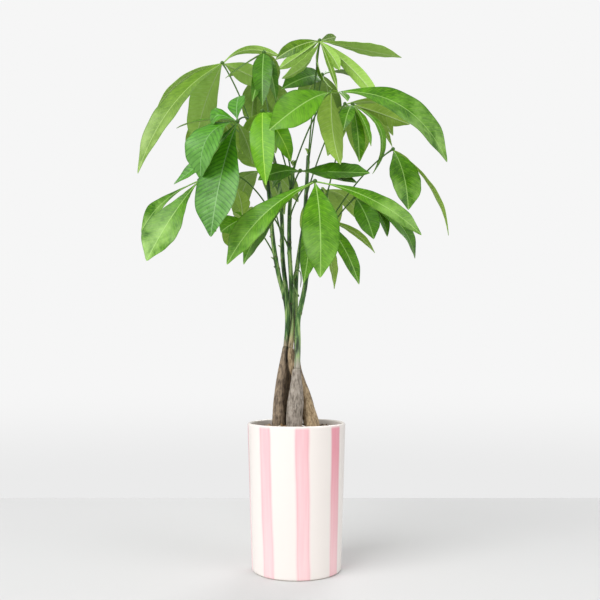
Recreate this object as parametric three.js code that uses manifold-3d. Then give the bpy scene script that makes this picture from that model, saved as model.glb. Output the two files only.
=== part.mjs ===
// A young money tree in a tall striped ceramic pot.
// Millimetres, +Z up. The origin is the middle of the pot's underside, and the front of the plant faces -Y.
// The plant stands in the soil of its pot: nothing turns or slides.
import * as THREE from 'three';
import { mergeVertices } from 'three/addons/utils/BufferGeometryUtils.js';
import Module from 'manifold-3d';

const wasm = await Module();
wasm.setup();

// Pot: a slightly tapered cylinder of glazed ceramic.
const POT_HEIGHT = 195;
const POT_TOP_RADIUS = 65;
const POT_BASE_RADIUS = 59.5;
const POT_WALL = 4.5;
const POT_FLOOR = 7;
const POT_EDGE = 2;
const POT_SIDES = 40;

// Soil: fills the pot to just under the rim, and is a little higher round the trunks.
const SOIL_TOP = 187;
const SOIL_CROWN = 191;
const CROWN_SHARE = 0.55;

// What touches keeps this gap.
const GAP = 0.3;

// Woody trunks go over into green stems. Each cane is one line of places, from its foot in the soil up.
// barkTop is the height where the bark ends. The radii are those of the foot, of the bark's end, of the
// green stem's start and of its tip. A trunk keeps its foot's radius over evenShare of its length.
const TRUNK_SIDES = 9;
const TRUNK_STEPS = 7;
const STEM_SIDES = 6;
const STEM_STEPS = 11;
const CANES = {
  left: {
    path: [
      [-25, 3, 150], [-24, 1.5, 191], [-22.5, 1, 229], [-19.3, 2, 262], [-14.5, 3, 293], [-11.8, -2.5, 330],
      [-14, -3, 354], [-24, -3, 393], [-31, 1, 436], [-36, 5, 490], [-42, 4, 550],
    ],
    barkTop: 296, evenShare: 0.26, radii: [9.3, 4.2, 3.5, 2.4], bark: 0x7d6f58,
  },
  middle: {
    path: [
      [-4, -13, 150], [-2.6, -12.5, 193], [-1, -12, 229], [0.7, -11, 266], [2, -9, 300], [2, -7, 331],
      [6.2, -7, 350], [10.8, -8, 372], [14, -8, 392], [21, -6, 412], [34, 0, 450], [40, 6, 500],
    ],
    barkTop: 267, evenShare: 0.62, radii: [10.8, 5.3, 4, 2.2], bark: 0x96907f,
  },
  crossing: {
    path: [
      [27, -8, 150], [20.5, -4, 191], [10, 5.5, 229], [4, 6, 248], [-5.5, 1, 270], [-7.3, -2.5, 293],
      [-4.6, 0.5, 330], [-6.5, 3, 361], [-7.5, 2, 390], [-9.5, 0, 428], [-9, -2, 480], [-4, -2, 535],
    ],
    barkTop: 294, evenShare: 0.26, radii: [11, 4, 3.4, 2.4], bark: 0x94805f,
  },
  backLeft: {
    path: [
      [-12, 24, 150], [-12, 21, 191], [-12, 19, 229], [-12, 18.5, 262], [-10, 17, 293], [-7, 15, 330],
      [-11, 14, 357], [-15, 14, 382], [-19, 18, 420], [-20, 24, 470], [-24, 32, 520], [-32, 40, 560],
    ],
    barkTop: 292, evenShare: 0.26, radii: [10, 4, 3.4, 2.4], bark: 0x7b6d57,
  },
  backRight: {
    path: [
      [23, 25, 150], [19, 24, 191], [12, 25, 229], [6, 23, 248], [1, 20, 270], [0, 16, 300],
      [0, 13.5, 330], [-1, 12.5, 360], [0, 12, 395], [4, 13, 425], [10, 18, 465], [14, 26, 520],
      [16, 30, 560],
    ],
    barkTop: 288, evenShare: 0.26, radii: [10, 4, 3.4, 2.4], bark: 0x83745c,
  },
};

// Leaves: a petiole from its cane, a small hub, and leaflets that spread from the hub.
// A leaflet's fold, in shares of its half width, lifts both edges over the rib, and BLADE_WAVES waves of
// BLADE_WAVE times its width run along each edge. BLADE_BROADEST is the share of its length where it is
// widest, a fullness under 1 keeps it broad towards that end, and BLADE_OUTWARD is how far its upper side
// faces away from the plant's middle, against straight up.
// Leaflets narrower than NARROW have fewer stations along them.
const HUB_RADIUS = 3.2;
const PETIOLE_RADIUS = 1.4;
const PETIOLE_SIDES = 5;
const PETIOLE_STEPS = 6;
const BLADE_THICKNESS = 0.8;
const BLADE_NECK = 1.2;
const BLADE_TIP = 0.5;
const BLADE_FOLD = 0.16;
const BLADE_WAVE = 0.035;
const BLADE_WAVES = 1.5;
const BLADE_BROADEST = 0.57;
const BASE_FULLNESS = 1;
const TIP_FULLNESS = 0.65;
const BLADE_OUTWARD = 0.5;
const BLADE_STATIONS = [0, 0.12, 0.3, 0.5, 0.7, 0.85, 0.95, 1];
const NARROW = 21;
const NARROW_STATIONS = [0, 0.2, 0.5, 0.75, 0.92, 1];

const FRESH = 0x5c9f2c;
const DEEP = 0x3f8420;
const GREYED = 0x62a055;
const YOUNG = 0x86c21c;

// Each leaf has the cane that it grows from, the height where it leaves it, the height of its petiole's bow
// over a straight line, the place of its hub and its leaflets.
// A leaflet has the place of its tip, its width, how far its midrib arches off a straight line and its
// turn in degrees: 0 lets the upper side face up and out, and a positive turn brings it to the front.
// Where a seventh value is given, it stands for BLADE_BROADEST.
const LEAVES = {
  // The long arching leaf at the upper left.
  leaf_upper_left: {
    cane: 'left', leaves: 528, bow: 14, hub: [-100, 10, 678], colour: FRESH,
    leaflets: [
      [-198, 70, 640, 16, 12, 0], [-203, -40, 517, 43, 20, 40, 0.45], [-130, -30, 550, 48, 10, -60, 0.5],
      [-41, 60, 668, 28, 4, -30], [-17, 30, 692, 12, 28, -25], [-143, 125, 655, 24, 10, 0],
    ],
  },
  // A young leaf at the top, its narrow leaflets still hanging.
  leaf_young_top: {
    cane: 'crossing', leaves: 520, bow: 6, hub: [-42, -30, 676], colour: FRESH,
    leaflets: [
      [-90, -48, 636, 8, 1, 10, 0.42], [-54, -75, 597, 15, -3, 40, 0.42], [-42, -62, 596, 26, 8, 20, 0.42],
      [-26, -34, 612, 16, 8, 30, 0.42], [-25, -12, 644, 18, 5, 30, 0.42],
    ],
  },
  // The big leaf at the left front, with the broad ribbed leaflet.
  leaf_left_front: {
    cane: 'left', leaves: 540, bow: 26, hub: [-72, -80, 571], colour: GREYED,
    leaflets: [
      [-114, -100, 494, 54, 25, 20], [-155, -50, 501, 24, -5, 42], [-100, -120, 423, 53, 9, 20, 0.62],
      [-104, -70, 560, 28, 19, 35], [-155, -30, 578, 12, 6, 0], [-55, -50, 527, 26, 4, 30],
      [-72, -56, 610, 25, 4, 0, 0.6],
    ],
  },
  // The bright young leaf beside it.
  leaf_young_front: {
    cane: 'crossing', leaves: 506, bow: 16, hub: [-42, -70, 587], colour: YOUNG,
    leaflets: [
      [-36, -100, 488, 32, 6, 0, 0.38], [-7, -48, 530, 28, 10, 50, 0.38], [-70, -24, 546, 22, 8, 0, 0.38],
    ],
  },
  // The top leaf.
  leaf_top: {
    cane: 'backRight', leaves: 548, bow: 8, hub: [31, 0, 704], colour: FRESH,
    leaflets: [
      [-28, -8, 675, 18, 9, 48], [55, 45, 728, 12, 0, 60], [143, 22, 690, 29, 0, -8],
      [107, -40, 605, 19, 17, -70, 0.5], [52, -52, 620, 9, 2, 20], [-19, -20, 646, 30, -9, -60],
      [-27, 40, 680, 16, 6, -40], [49, 24, 648, 22, 11, -150], [57, -20, 657, 15, 4, -70],
    ],
  },
  leaf_top_back: {
    cane: 'backRight', leaves: 535, bow: 10, hub: [36, 54, 679], colour: DEEP,
    leaflets: [
      [-20, 0, 639, 35, 6, 70, 0.38], [5, 165, 664, 34, 18, 0], [54, 188, 625, 36, 22, 0],
      [84, 150, 712, 28, 6, 0],
    ],
  },
  // The broad leaf at the upper right.
  leaf_upper_right: {
    cane: 'crossing', leaves: 530, bow: 12, hub: [44, -45, 619], colour: FRESH,
    leaflets: [
      [-32, -104, 553, 42, 17, 42, 0.65], [191, -50, 529, 53, 35, 43, 0.6], [62, -100, 589, 16, 5, 0],
      [54, -84, 517, 40, 6, 170, 0.42],
    ],
  },
  // The hanging leaf behind it.
  leaf_right_hanging: {
    cane: 'middle', leaves: 490, bow: 8, hub: [76, 18, 625], colour: DEEP,
    leaflets: [
      [83, -8, 540, 19, 5, 45], [105, 36, 535, 15, 32, 65], [158, 48, 607, 28, 3, -50],
      [135, 60, 579, 14, 9, 0], [62, -14, 580, 20, 8, 30], [99, -4, 562, 11, 6, 40],
    ],
  },
  // The leaf at the far right.
  leaf_far_right: {
    cane: 'middle', leaves: 440, bow: 14, hub: [130, 10, 562], colour: DEEP,
    leaflets: [
      [146, -22, 474, 44, 10, 45], [204, 6, 445, 20, 15, 0], [162, 132, 512, 36, 18, 0],
      [166, 188, 548, 26, 8, 0],
    ],
  },
  // The big leaf in front.
  leaf_front: {
    cane: 'crossing', leaves: 466, bow: 12, hub: [23, -88, 496], colour: FRESH,
    leaflets: [
      [28, -130, 374, 46, 14, 0], [-83, -100, 393, 42, 18, 22, 0.65], [153, -84, 431, 30, 15, 38, 0.66],
      [-66, -60, 398, 40, 16, 20, 0.7], [9, -74, 373, 24, 8, 20],
    ],
  },
  leaf_front_upper: {
    cane: 'crossing', leaves: 490, bow: 6, hub: [5, -50, 518], colour: DEEP,
    leaflets: [
      [92, -62, 512, 36, 0, 30], [-47, -76, 500, 28, 6, 35], [-32, -20, 500, 24, 8, 30],
      [76, -62, 500, 24, 3, 25],
    ],
  },
  // Two leaves low at the right.
  leaf_right_low: {
    cane: 'middle', leaves: 418, bow: 6, hub: [77, -20, 491], colour: DEEP,
    leaflets: [
      [98, -52, 431, 31, 8, 45], [120, -10, 441, 24, 12, 45, 0.7], [161, 20, 416, 36, 20, 50, 0.6],
      [112, 130, 468, 28, 18, 0], [129, 110, 482, 22, 10, 0],
    ],
  },
  leaf_right_lowest: {
    cane: 'middle', leaves: 398, bow: 4, hub: [33, -44, 457], colour: FRESH,
    leaflets: [
      [102, -26, 417, 13, 11, -40], [78, -70, 372, 22, 12, 32], [48, -50, 368, 26, 3, -60],
      [18, -20, 404, 22, 8, 0],
    ],
  },
  // The leaf low at the left, on its long arching petiole.
  leaf_left_low: {
    cane: 'crossing', leaves: 426, bow: 46, hub: [-127, -20, 513], colour: FRESH,
    leaflets: [
      [-190, -48, 404, 50, 6, 50, 0.66], [-212, 24, 452, 30, 12, 55, 0.72], [-108, 6, 450, 26, 6, 0],
      [-118, 90, 490, 22, 6, 0], [-196, 100, 462, 24, 4, 0],
    ],
  },
  leaf_left_inner: {
    cane: 'left', leaves: 414, bow: 10, hub: [-73, 24, 471], colour: FRESH,
    leaflets: [
      [-102, 10, 450, 36, 3, 70], [-80, -10, 505, 28, 4, -60], [-88, 60, 432, 34, 14, 0],
      [-70, 125, 480, 30, 16, 0],
    ],
  },
  // Leaves at the back of the crown.
  leaf_back_left: {
    cane: 'backLeft', leaves: 505, bow: 14, hub: [-119, 90, 640], colour: FRESH,
    leaflets: [
      [-157, 165, 574, 38, 24, 0], [-116, 190, 522, 42, 28, 0], [-84, 175, 586, 38, 22, 0],
      [-128, 44, 585, 26, 10, 0],
    ],
  },
  leaf_back_right: {
    cane: 'backRight', leaves: 500, bow: 14, hub: [70, 90, 650], colour: FRESH,
    leaflets: [
      [196, 130, 617, 34, 24, 0], [150, 172, 628, 36, 20, 0], [100, 198, 594, 40, 24, 0],
      [48, 172, 596, 34, 20, 0],
    ],
  },
  leaf_back_centre: {
    cane: 'backLeft', leaves: 440, bow: 10, hub: [-50, 80, 551], colour: DEEP,
    leaflets: [
      [-92, 170, 486, 34, 30, 0], [-20, 200, 510, 30, 20, 0], [-112, 130, 502, 30, 18, 0],
      [2, 172, 524, 34, 18, 0], [-78, 60, 582, 30, 6, -30],
    ],
  },
  leaf_back_low: {
    cane: 'backRight', leaves: 440, bow: 10, hub: [36, 70, 520], colour: FRESH,
    leaflets: [
      [34, 152, 430, 40, 22, 0], [56, 198, 474, 38, 24, 0], [104, 152, 480, 34, 20, 0],
      [12, 124, 458, 32, 14, 0],
    ],
  },
  leaf_back_top: {
    cane: 'backLeft', leaves: 550, bow: 8, hub: [-50, 96, 690], colour: DEEP,
    leaflets: [
      [-72, 182, 640, 36, 22, 0], [-34, 194, 606, 38, 24, 0], [-14, 152, 640, 34, 18, 0],
      [-105, 150, 712, 20, 8, 0],
    ],
  },
};

const object = new THREE.Group();

// A closed mesh's geometry as a solid, and back.
function toSolid(geometry) {
  for (const name of Object.keys(geometry.attributes)) {
    if (name !== 'position') geometry.deleteAttribute(name);
  }
  const merged = mergeVertices(geometry);
  return new wasm.Manifold(new wasm.Mesh({
    numProp: 3,
    vertProperties: new Float32Array(merged.attributes.position.array),
    triVerts: new Uint32Array(merged.index.array),
  }));
}

function toGeometry(solid) {
  const mesh = solid.getMesh();
  const geometry = new THREE.BufferGeometry();
  geometry.setAttribute('position', new THREE.BufferAttribute(mesh.vertProperties, mesh.numProp));
  geometry.setIndex(new THREE.BufferAttribute(mesh.triVerts, 1));
  return geometry;
}

function add(name, solid, finish) {
  const material = new THREE.MeshStandardMaterial({ ...finish, metalness: 0 });
  const mesh = new THREE.Mesh(toGeometry(solid), material);
  mesh.name = name;
  object.add(mesh);
}

// A round bar along the stretch of a curve from start to end, shares of its length, bent from a cylinder.
function bar(curve, { start = 0, end = 1, radiusAt, sides, steps }) {
  const geometry = new THREE.CylinderGeometry(1, 1, 1, sides, steps);
  const rings = [];
  let across = new THREE.Vector3(1, 0, 0);
  for (let step = 0; step <= steps; step++) {
    const share = start + (end - start) * step / steps;
    const tangent = curve.getTangentAt(share);
    across = across.clone().addScaledVector(tangent, -across.dot(tangent)).normalize();
    rings.push({
      centre: curve.getPointAt(share),
      radius: radiusAt(step / steps),
      across,
      behind: across.clone().cross(tangent),
    });
  }
  const position = geometry.attributes.position;
  for (let i = 0; i < position.count; i++) {
    const ring = rings[Math.round((position.getY(i) + 0.5) * steps)];
    const place = ring.centre.clone()
      .addScaledVector(ring.across, ring.radius * position.getX(i))
      .addScaledVector(ring.behind, ring.radius * position.getZ(i));
    position.setXYZ(i, place.x, place.y, place.z);
  }
  return toSolid(geometry);
}

// Half the width of a leaflet at a share t of its length, as a share of its greatest half width.
function bladeProfile(t, broadest) {
  const sine = Math.sin(Math.PI * t ** (Math.log(0.5) / Math.log(broadest)));
  return Math.max(0, sine) ** (t < broadest ? BASE_FULLNESS : TIP_FULLNESS);
}

// A leaflet: a thin blade along an arched midrib, folded up a little along the rib and waved at its edges.
function blade(hub, [x, y, z, width, arch, turn, broadest = BLADE_BROADEST]) {
  const tip = new THREE.Vector3(x, y, z);
  const along = tip.clone().sub(hub).normalize();
  const base = hub.clone().addScaledVector(along, HUB_RADIUS / 2);
  const middle = base.clone().add(tip).multiplyScalar(0.5);
  const outward = new THREE.Vector3(middle.x, middle.y, 0).normalize();
  const up = new THREE.Vector3(0, 0, 1).addScaledVector(outward, BLADE_OUTWARD);
  up.addScaledVector(along, -up.dot(along)).normalize();
  const front = along.clone().cross(up);
  if (front.y > 0) front.negate();
  const angle = THREE.MathUtils.degToRad(turn);
  const facing = up.multiplyScalar(Math.cos(angle)).addScaledVector(front, Math.sin(angle));
  const midrib = new THREE.QuadraticBezierCurve3(base, middle.addScaledVector(facing, 2 * arch), tip);

  const stations = width < NARROW ? NARROW_STATIONS : BLADE_STATIONS;
  const positions = [];
  for (const t of stations) {
    const tangent = midrib.getTangent(t);
    const across = tangent.clone().cross(facing).normalize();
    const normal = across.clone().cross(tangent);
    const least = t < 0.5 ? BLADE_NECK : BLADE_TIP;
    const share = bladeProfile(t, broadest);
    const half = Math.max(least, 0.5 * width * share);
    const ring = [-1, 0, 1].map((side) => {
      const wave = BLADE_WAVE * width * Math.sin(2 * Math.PI * BLADE_WAVES * t + side) * share;
      return midrib.getPoint(t)
        .addScaledVector(across, side * half)
        .addScaledVector(normal, Math.abs(side) * (BLADE_FOLD * half + wave));
    });
    const upper = ring.map((p) => p.clone().addScaledVector(normal, BLADE_THICKNESS / 2));
    const lower = ring.map((p) => p.clone().addScaledVector(normal, -BLADE_THICKNESS / 2)).reverse();
    for (const p of [...upper, ...lower]) positions.push(p.x, p.y, p.z);
  }

  // Six points a ring: three above and three below. Both faces are split along the same diagonals.
  const RING = 6;
  const faces = [];
  for (let i = 0; i < stations.length - 1; i++) {
    for (let k = 0; k < RING; k++) {
      const p = i * RING + k;
      const q = i * RING + (k + 1) % RING;
      const below = k >= RING / 2;
      if (below) faces.push(q, q + RING, p + RING, q, p + RING, p);
      else faces.push(p, q, q + RING, p, q + RING, p + RING);
    }
  }
  const last = (stations.length - 1) * RING;
  faces.push(0, 5, 4, 0, 4, 1, 1, 4, 3, 1, 3, 2);
  faces.push(last, last + 4, last + 5, last, last + 1, last + 4, last + 1, last + 3, last + 4);
  faces.push(last + 1, last + 2, last + 3);

  const geometry = new THREE.BufferGeometry();
  geometry.setAttribute('position', new THREE.Float32BufferAttribute(positions, 3));
  geometry.setIndex(faces);
  return toSolid(geometry);
}

// The share of a curve's length at which it reaches a height, by halving the stretch that holds it.
function shareAtHeight(curve, height) {
  const HALVINGS = 30;
  let low = 0;
  let high = 1;
  for (let i = 0; i < HALVINGS; i++) {
    const middle = (low + high) / 2;
    if (curve.getPointAt(middle).z < height) low = middle;
    else high = middle;
  }
  return low;
}

// Pot: the outer wall, the rim, the inner wall and the floor in one turned profile.
const potInside = POT_TOP_RADIUS - POT_WALL;
const floorInside = POT_BASE_RADIUS - POT_WALL;
const pot = new THREE.LatheGeometry([
  new THREE.Vector2(0, 0),
  new THREE.Vector2(POT_BASE_RADIUS - POT_EDGE, 0),
  new THREE.Vector2(POT_BASE_RADIUS, POT_EDGE),
  new THREE.Vector2(POT_TOP_RADIUS, POT_HEIGHT - POT_EDGE),
  new THREE.Vector2(POT_TOP_RADIUS - POT_WALL / 2, POT_HEIGHT),
  new THREE.Vector2(potInside, POT_HEIGHT - POT_EDGE),
  new THREE.Vector2(floorInside, POT_FLOOR),
  new THREE.Vector2(0, POT_FLOOR),
], POT_SIDES).rotateX(Math.PI / 2);
add('pot', toSolid(pot), { color: 0xf7f1ea, roughness: 0.25 });

// Canes: the bark part and the green part of each are swept along one line, with the gap between them.
let feet = null;
for (const cane of Object.values(CANES)) {
  cane.curve = new THREE.CatmullRomCurve3(cane.path.map((p) => new THREE.Vector3(...p)));
  cane.length = cane.curve.getLength();
  cane.split = shareAtHeight(cane.curve, cane.barkTop);
  const [foot, barkEnd, stemStart, stemEnd] = cane.radii;
  cane.trunk = {
    start: GAP / cane.length, end: cane.split, sides: TRUNK_SIDES, steps: TRUNK_STEPS,
    radiusAt: (t) => {
      const taper = Math.max(0, (t - cane.evenShare) / (1 - cane.evenShare));
      return THREE.MathUtils.lerp(foot, barkEnd, taper);
    },
  };
  cane.stem = {
    start: cane.split + GAP / cane.length, end: 1 - GAP / cane.length, sides: STEM_SIDES, steps: STEM_STEPS,
    radiusAt: (t) => THREE.MathUtils.lerp(stemStart, stemEnd, t),
  };
  cane.stemClear = bar(cane.curve, { ...cane.stem, end: 1, radiusAt: (t) => cane.stem.radiusAt(t) + GAP });
  const hole = bar(cane.curve, { ...cane.trunk, start: 0, radiusAt: (t) => cane.trunk.radiusAt(t) + GAP });
  feet = feet ? feet.add(hole) : hole;
}

// Soil: one plug that fills the pot, with a plain hole for each trunk.
function soilRadius(height) {
  const share = (height - POT_FLOOR) / (POT_HEIGHT - POT_EDGE - POT_FLOOR);
  return THREE.MathUtils.lerp(floorInside, potInside, share) - GAP;
}
const soilFloor = POT_FLOOR + GAP;
const soil = new THREE.LatheGeometry([
  new THREE.Vector2(0, soilFloor),
  new THREE.Vector2(soilRadius(soilFloor), soilFloor),
  new THREE.Vector2(soilRadius(SOIL_TOP), SOIL_TOP),
  new THREE.Vector2(soilRadius(SOIL_TOP) * CROWN_SHARE, SOIL_CROWN),
  new THREE.Vector2(0, SOIL_CROWN),
], POT_SIDES).rotateX(Math.PI / 2);
add('soil', toSolid(soil).subtract(feet), { color: 0x6b5a48, roughness: 0.95 });

for (const [name, cane] of Object.entries(CANES)) {
  add(`trunk_${name}`, bar(cane.curve, cane.trunk), { color: cane.bark, roughness: 0.85 });
  add(`stem_${name}`, bar(cane.curve, cane.stem), { color: 0x4f7d38, roughness: 0.55 });
}

// Leaves: petiole, hub and leaflets are one body, cut clear of the stem that carries it.
for (const [name, leaf] of Object.entries(LEAVES)) {
  const cane = CANES[leaf.cane];
  const start = cane.curve.getPointAt(shareAtHeight(cane.curve, leaf.leaves));
  const hub = new THREE.Vector3(...leaf.hub);
  const bowed = start.clone().add(hub).multiplyScalar(0.5);
  bowed.z += 2 * leaf.bow;
  const petiole = new THREE.QuadraticBezierCurve3(start, bowed, hub);
  let solid = bar(petiole, { radiusAt: () => PETIOLE_RADIUS, sides: PETIOLE_SIDES, steps: PETIOLE_STEPS });
  const knob = new THREE.IcosahedronGeometry(HUB_RADIUS).translate(hub.x, hub.y, hub.z);
  solid = solid.add(toSolid(knob));
  for (const leaflet of leaf.leaflets) solid = solid.add(blade(hub, leaflet));
  add(name, solid.subtract(cane.stemClear), { color: leaf.colour, roughness: 0.5 });
}

export default object;
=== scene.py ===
"""A young money tree in a tall striped ceramic pot.

Metres, +Z up. The origin is the middle of the pot's underside, and the front of the plant faces -Y.
"""
import math

import bpy
import numpy as np
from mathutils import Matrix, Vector


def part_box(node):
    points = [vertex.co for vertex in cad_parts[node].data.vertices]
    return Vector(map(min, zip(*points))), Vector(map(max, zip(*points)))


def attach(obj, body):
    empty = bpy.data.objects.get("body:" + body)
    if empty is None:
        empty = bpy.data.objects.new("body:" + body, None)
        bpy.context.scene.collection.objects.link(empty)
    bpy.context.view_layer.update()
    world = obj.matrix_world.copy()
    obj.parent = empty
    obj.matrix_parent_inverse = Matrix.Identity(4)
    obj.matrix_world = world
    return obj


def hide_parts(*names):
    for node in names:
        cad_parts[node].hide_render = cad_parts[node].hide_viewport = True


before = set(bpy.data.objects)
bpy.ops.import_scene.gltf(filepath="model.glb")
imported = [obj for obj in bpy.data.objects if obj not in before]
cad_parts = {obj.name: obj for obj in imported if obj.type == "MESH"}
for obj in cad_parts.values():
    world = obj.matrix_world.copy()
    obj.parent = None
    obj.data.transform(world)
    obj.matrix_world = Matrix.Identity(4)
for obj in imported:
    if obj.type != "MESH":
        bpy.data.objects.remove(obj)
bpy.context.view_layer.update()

scene = bpy.context.scene


# The studio: a matt white board that ends half a metre behind the pot, a pale grey backdrop, and soft light
# from the upper left with weaker light from the right and from behind. The camera stands level and looks
# through a normal lens whose frame is raised a little, so that the pot's sides stay upright.
CAMERA_PLACE = (0.0047, -1.0, 0.282)
CAMERA_LENS_MM = 45
CAMERA_RISE = 0.095
BOARD_BACK = 0.5
BOARD_REACH = 3.0
BACKDROP = "f6f6f6"
BACKDROP_FOOT = "ebebeb"
AMBIENT = "c4c4c4"
BOARD_WHITE = "d0d0d0"


def linear(colour):
    """An sRGB hex colour as linear red, green, blue and alpha."""
    shares = np.array([int(colour[i:i + 2], 16) for i in (0, 2, 4)]) / 255
    bright = ((shares + 0.055) / 1.055) ** 2.4
    return (*np.where(shares <= 0.04045, shares / 12.92, bright), 1.0)


def connect(tree, node, links):
    """Gives a node's sockets, by name or number, a value or what feeds them.

    A string is a hex colour, and another node stands for the first of its outputs that is in use. "From" and
    "To" take a range's two ends.
    """
    for socket, value in links.items():
        if isinstance(value, bpy.types.Node):
            value = next(output for output in value.outputs if output.enabled)
        if isinstance(value, bpy.types.NodeSocket):
            tree.links.new(value, node.inputs[socket])
        elif socket in ("From", "To"):
            connect(tree, node, {f"{socket} Min": value[0], f"{socket} Max": value[1]})
        else:
            node.inputs[socket].default_value = linear(value) if isinstance(value, str) else value


def add_node(tree, kind, links=None, **settings):
    """A shader node of a kind, with its settings and with links as connect takes them."""
    made = tree.nodes.new("ShaderNode" + kind)
    for setting, value in settings.items():
        setattr(made, setting, value)
    connect(tree, made, links or {})
    return made


def new_material(name, **sockets):
    """A material with constants on its shader's own sockets. Gives the material, its nodes and its shader."""
    material = bpy.data.materials.new(name)
    material.use_nodes = True
    tree = material.node_tree
    shader = tree.nodes["Principled BSDF"]
    connect(tree, shader, {socket.replace("_", " "): value for socket, value in sockets.items()})
    return material, tree, shader


def add_lamp(name, place, aim, size, power):
    """A square soft box at a place, turned to what it aims at."""
    lamp = bpy.data.lights.new(name, "AREA")
    lamp.size = size
    lamp.energy = power
    stand = bpy.data.objects.new(name, lamp)
    stand.location = place
    stand.rotation_euler = (Vector(aim) - Vector(place)).to_track_quat("-Z", "Y").to_euler()
    scene.collection.objects.link(stand)


camera = bpy.data.objects.new("camera", bpy.data.cameras.new("camera"))
camera.location = CAMERA_PLACE
camera.rotation_euler = (math.pi / 2, 0, 0)
camera.data.lens = CAMERA_LENS_MM
camera.data.shift_y = CAMERA_RISE
scene.collection.objects.link(camera)
scene.camera = camera
scene.view_settings.view_transform = "Standard"

# The backdrop shows its own pale grey, which deepens a little towards its foot, but lights the plant less.
backdrop = bpy.data.worlds.new("backdrop")
backdrop.use_nodes = True
tree = backdrop.node_tree
heading = add_node(tree, "SeparateXYZ", {0: add_node(tree, "TexCoord").outputs["Generated"]})
low_share = add_node(tree, "MapRange", {"Value": heading.outputs["Z"], "From": (-0.04, -0.15)},
                     interpolation_type="SMOOTHSTEP")
seen = add_node(tree, "Mix", {0: low_share, 6: BACKDROP, 7: BACKDROP_FOOT}, data_type="RGBA")
seen_light = add_node(tree, "Background", {"Color": seen})
soft_light = add_node(tree, "Background", {"Color": AMBIENT})
straight = add_node(tree, "LightPath").outputs["Is Camera Ray"]
both = add_node(tree, "MixShader", {0: straight, 1: soft_light, 2: seen_light})
connect(tree, tree.nodes["World Output"], {"Surface": both})
scene.world = backdrop

board_mesh = bpy.data.meshes.new("board")
board_mesh.from_pydata(
    [(-BOARD_REACH, -BOARD_REACH, 0), (BOARD_REACH, -BOARD_REACH, 0), (BOARD_REACH, BOARD_BACK, 0),
     (-BOARD_REACH, BOARD_BACK, 0)], [], [(0, 1, 2, 3)])
board = bpy.data.objects.new("board", board_mesh)
board_mesh.materials.append(new_material("matt_white_board", Roughness=0.8, Base_Color=BOARD_WHITE)[0])
scene.collection.objects.link(board)

PLANT_MIDDLE = (0, 0, 0.4)
add_lamp("key", (-2.2, -2.4, 3.0), PLANT_MIDDLE, 3.2, 165)
add_lamp("fill", (2.4, -1.6, 1.4), PLANT_MIDDLE, 1.8, 24)
add_lamp("back", (0.9, 2.7, 2.6), PLANT_MIDDLE, 1.8, 40)


# The pot: white stoneware, thrown and turned true, with eight pink bands brushed on by hand before a clear
# glossy glaze. The bands thin out over the rim, and bare clay shows only under the foot, where the pot stood.
pot_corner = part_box("pot")[1]
POT_RADIUS = pot_corner.x
POT_HEIGHT = pot_corner.z
POT_FOOT_RADIUS = 0.0595
POT_WALL = 0.0045
POT_FLOOR = 0.007
POT_FOOT_ROUND = 0.003
POT_AROUND = 224
BANDS = 8
BAND_OFFSET_DEG = 7.2
BAND_LEAN_DEG = 2.5
BAND_HALF_DEG = 8.0
BAND_BLUR_SHARE = 0.045
RIM_THIN_AND_HIGHLIGHT = (0.0045, 0.001)
FOOT_BARE = (0.0004, 0.0012)
IVORY = "eee7e2"
CLAY = "d8c8b4"
BAND_PALE = "f6d4d6"
BAND_ROSE = "e89aa8"
BAND_RIM = "de8f9c"


def sleeve(rings, **extra):
    """A closed skin through rings of points, an array of rings by points by 3.

    Each ring runs clockwise as seen on the way from the first ring to the last. Four-sided faces join
    neighbouring rings, and one face closes each end. The extras may be "paint", the faces' material numbers,
    and "values", named numbers for the points.
    """
    rows, around = rings.shape[:2]
    number = np.arange(rows * around).reshape(rows, around)
    turned = np.roll(number, -1, axis=1)
    sides = np.stack([number[:-1], turned[:-1], turned[1:], number[1:]], axis=-1).reshape(-1)
    corners = np.concatenate([sides, number[0, ::-1], number[-1]])
    sizes = np.concatenate([np.full((rows - 1) * around, 4), [around, around]])
    return {"points": rings.reshape(-1, 3), "corners": corners, "sizes": sizes, "paint": 0,
            "values": {}, **extra}


def add_piece(name, skins, materials, crease_deg=180):
    """An object at the origin made of closed skins, riding on the root body.

    Edges sharper than crease_deg stay sharp.
    """
    starts = np.cumsum([0] + [len(skin["points"]) for skin in skins[:-1]])
    points = np.concatenate([skin["points"] for skin in skins])
    corners = np.concatenate([skin["corners"] + start for skin, start in zip(skins, starts)])
    sizes = np.concatenate([skin["sizes"] for skin in skins])
    paints = np.concatenate([np.broadcast_to(skin["paint"], len(skin["sizes"])) for skin in skins])
    mesh = bpy.data.meshes.new(name)
    mesh.vertices.add(len(points))
    mesh.vertices.foreach_set("co", points.astype(np.float32).ravel())
    mesh.loops.add(len(corners))
    mesh.loops.foreach_set("vertex_index", corners.astype(np.int32))
    mesh.polygons.add(len(sizes))
    mesh.polygons.foreach_set("loop_start", (np.cumsum(sizes) - sizes).astype(np.int32))
    mesh.polygons.foreach_set("material_index", paints.astype(np.int32))
    for value in sorted({value for skin in skins for value in skin["values"]}):
        spread = [np.broadcast_to(skin["values"].get(value, 0.0), len(skin["points"])) for skin in skins]
        layer = mesh.attributes.new(value, "FLOAT", "POINT")
        layer.data.foreach_set("value", np.concatenate(spread).astype(np.float32))
    for material in materials:
        mesh.materials.append(material)
    mesh.update(calc_edges=True)
    mesh.shade_smooth()
    if crease_deg < 180:
        mesh.set_sharp_from_angle(angle=math.radians(crease_deg))
    piece = bpy.data.objects.new(name, mesh)
    scene.collection.objects.link(piece)
    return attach(piece, "root")


def full_turn(around):
    """Evenly spaced angles, one turn of them."""
    return np.linspace(0, 2 * np.pi, around, endpoint=False)


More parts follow.
